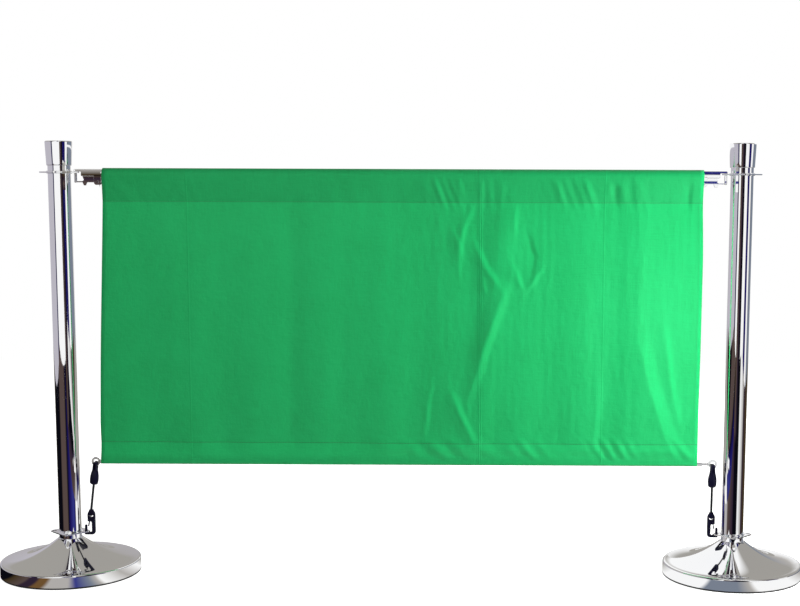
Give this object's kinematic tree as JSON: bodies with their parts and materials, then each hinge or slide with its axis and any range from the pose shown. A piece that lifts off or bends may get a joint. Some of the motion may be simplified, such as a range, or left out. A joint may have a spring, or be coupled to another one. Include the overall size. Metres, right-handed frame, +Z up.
{
  "type": "cafe barrier",
  "caption": "Weighted posts joined by a crossbar that carries a fabric banner, with spring hooks in ring plates and elastic cords that hold the banner's lower rod down.",
  "frame": {"origin": "on the floor, midway between the two posts", "axes": "+X along the banner towards the right post as seen from the front, +Y to the back, +Z up"},
  "size_m": [1.87, 0.32, 1],
  "materials": {
    "chrome": "mirror polished",
    "cap_metal": "mirror polished",
    "iron": "rough cast",
    "zinc": "zinc plated",
    "rubber": "matte",
    "cloth": "plain woven",
    "black_plastic": "moulded, half gloss",
    "elastic": "braided sheath"
  },
  "bodies": {
    "post_left": {"base_cover_left": "chrome", "base_weight_left": "iron", "base_rubber_left": "rubber", "post_tube_left": "chrome", "foot_plug_left": "zinc", "base_bolt_left": "zinc", "base_washer_left": "zinc", "lower_ring_left": "chrome", "upper_ring_left": "chrome", "cap_left": "cap_metal", "cap_plug_left": "zinc", "cap_stud_left": "zinc"},
    "banner_frame": {"crossbar_tube": "chrome", "crossbar_hook_left": "chrome", "crossbar_hook_right": "chrome", "latch_pin_left": "zinc", "latch_pin_right": "zinc", "latch_spring_left": "zinc", "latch_spring_right": "zinc", "crossbar_rivet_left": "zinc", "crossbar_rivet_right": "zinc", "banner": "cloth", "bottom_rod": "chrome", "rod_eye_left": "zinc", "rod_eye_right": "zinc", "cord_end_left": "black_plastic", "cord_end_right": "black_plastic", "elastic_cord_left": "elastic", "elastic_cord_right": "elastic"},
    "latch_left": {"latch_left": "chrome"},
    "latch_right": {"latch_right": "chrome"},
    "cord_hook_left": {"cord_hook_left": "black_plastic", "gate_pin_left": "zinc"},
    "cord_hook_right": {"cord_hook_right": "black_plastic", "gate_pin_right": "zinc"},
    "hook_gate_left": {"hook_gate_left": "black_plastic"},
    "hook_gate_right": {"hook_gate_right": "black_plastic"},
    "post_right": {"base_cover_right": "chrome", "base_weight_right": "iron", "base_rubber_right": "rubber", "post_tube_right": "chrome", "foot_plug_right": "zinc", "base_bolt_right": "zinc", "base_washer_right": "zinc", "lower_ring_right": "chrome", "upper_ring_right": "chrome", "cap_right": "cap_metal", "cap_plug_right": "zinc", "cap_stud_right": "zinc"}
  },
  "joints": [
    {"name": "left_hook_swivel", "type": "hinge", "parent": "post_left", "child": "banner_frame", "pos_m": [-0.738, 0, 0.93], "axis": [0, 0, 1], "range_deg": [-60, 60]},
    {"name": "right_hook_swivel", "type": "hinge", "parent": "banner_frame", "child": "post_right", "pos_m": [0.738, 0, 0.93], "axis": [0, 0, 1], "range_deg": [-60, 60]},
    {"name": "left_latch_press", "type": "hinge", "parent": "banner_frame", "child": "latch_left", "pos_m": [-0.6873, 0, 0.9081], "axis": [0, -1, 0], "range_deg": [0, 28], "stiffness_Nm_per_rad": 0.05, "springref_deg": -57.3},
    {"name": "right_latch_press", "type": "hinge", "parent": "banner_frame", "child": "latch_right", "pos_m": [0.6873, 0, 0.9081], "axis": [0, 1, 0], "range_deg": [0, 28], "stiffness_Nm_per_rad": 0.05, "springref_deg": -57.3},
    {"name": "left_cord_stretch", "type": "slide", "parent": "banner_frame", "child": "cord_hook_left", "axis": [0, 0, -1], "range_m": [0, 0.008], "stiffness_N_per_m": 300, "springref_m": -0.02, "deforming": ["elastic_cord_left"]},
    {"name": "right_cord_stretch", "type": "slide", "parent": "banner_frame", "child": "cord_hook_right", "axis": [0, 0, -1], "range_m": [0, 0.008], "stiffness_N_per_m": 300, "springref_m": -0.02, "deforming": ["elastic_cord_right"]},
    {"name": "left_gate_press", "type": "hinge", "parent": "cord_hook_left", "child": "hook_gate_left", "pos_m": [-0.7285, 0, 0.124], "axis": [0, -1, 0], "range_deg": [0, 22], "stiffness_Nm_per_rad": 0.004, "springref_deg": -40.11},
    {"name": "right_gate_press", "type": "hinge", "parent": "cord_hook_right", "child": "hook_gate_right", "pos_m": [0.7285, 0, 0.124], "axis": [0, 1, 0], "range_deg": [0, 22], "stiffness_Nm_per_rad": 0.004, "springref_deg": -40.11}
  ]
}
